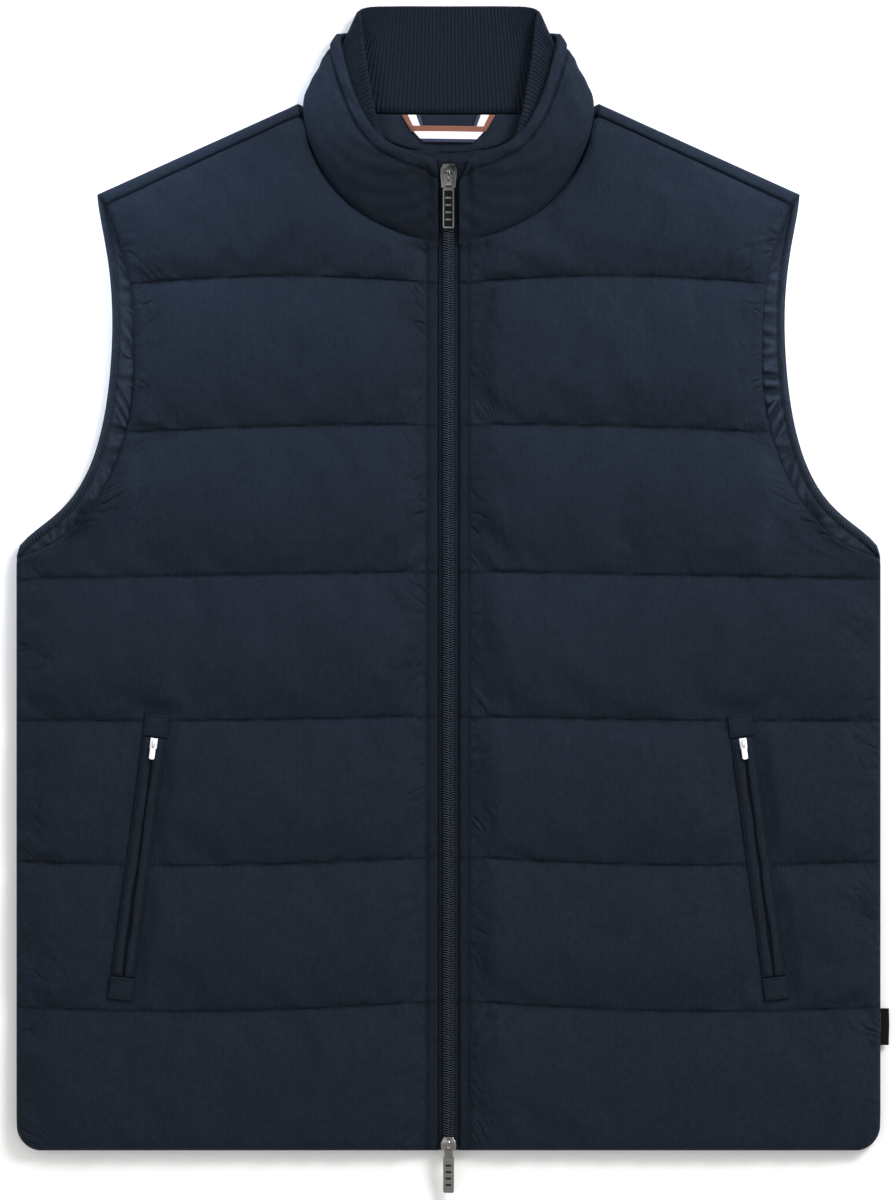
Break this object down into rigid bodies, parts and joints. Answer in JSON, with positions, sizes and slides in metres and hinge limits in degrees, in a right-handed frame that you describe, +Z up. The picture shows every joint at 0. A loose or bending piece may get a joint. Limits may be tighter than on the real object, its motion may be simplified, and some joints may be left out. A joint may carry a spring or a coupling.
{
  "type": "quilted vest",
  "caption": "Sleeveless quilted jacket laid flat, with a stand collar, ribbed inner collar, two-way zip, slanting welt pockets and hinged pull tabs",
  "frame": {"origin": "on the centre line, on the surface that the back rests on, 370 mm up from the hem", "axes": "+Y from the hem to the collar, +X to the viewer's right, +Z up off the surface"},
  "size_m": [0.5652, 0.767, 0.0283],
  "materials": {
    "cloth": "soft matt brushed cotton twill",
    "rib": "matt rib knit",
    "facing": "plain matt weave",
    "lining": "smooth lining",
    "ribbon": "striped woven ribbon: brown, white and navy",
    "tape": "woven zip tape",
    "chain": "moulded zip teeth, satin grey",
    "steel": "satin nickel",
    "dark_steel": "gunmetal",
    "white_enamel": "white enamel",
    "label": "plain woven label"
  },
  "bodies": {
    "vest": {"back": "cloth", "front_right": "cloth", "front_left": "cloth", "collar_outer": "cloth", "collar_rib": "rib", "neck_facing": "facing", "back_lining": "lining", "hanger_loop": "ribbon", "armhole_facing_right": "lining", "armhole_facing_left": "lining", "zip_tape_right": "tape", "zip_tape_left": "tape", "zip_chain": "chain", "zip_slider_top": "steel", "zip_slider_bottom": "dark_steel", "pocket_welt_inner_right": "cloth", "pocket_welt_outer_right": "cloth", "pocket_tab_top_right": "cloth", "pocket_tab_bottom_right": "cloth", "pocket_zip_right": "tape", "pocket_slider_right": "steel", "pocket_welt_inner_left": "cloth", "pocket_welt_outer_left": "cloth", "pocket_tab_top_left": "cloth", "pocket_tab_bottom_left": "cloth", "pocket_zip_left": "tape", "pocket_slider_left": "steel", "side_label": "label"},
    "top_pull": {"zip_pull_top": "steel"},
    "bottom_pull": {"zip_pull_bottom": "dark_steel"},
    "right_pocket_pull": {"pocket_pull_right": "white_enamel"},
    "left_pocket_pull": {"pocket_pull_left": "white_enamel"}
  },
  "joints": [
    {"name": "top_pull_hinge", "type": "hinge", "parent": "vest", "child": "top_pull", "pos_m": [0, 0.2604, 0.02578], "axis": [-1, 0, 0], "range_deg": [0, 165]},
    {"name": "bottom_pull_hinge", "type": "hinge", "parent": "vest", "child": "bottom_pull", "pos_m": [0, -0.3652, 0.0146], "axis": [-1, 0, 0], "range_deg": [0, 165]},
    {"name": "right_pocket_pull_hinge", "type": "hinge", "parent": "vest", "child": "right_pocket_pull", "pos_m": [0.19054, -0.10634, 0.0162], "axis": [-0.9913, -0.1316, 0], "range_deg": [0, 150]},
    {"name": "left_pocket_pull_hinge", "type": "hinge", "parent": "vest", "child": "left_pocket_pull", "pos_m": [-0.19054, -0.10634, 0.0162], "axis": [-0.9913, 0.1316, 0], "range_deg": [0, 150]}
  ]
}
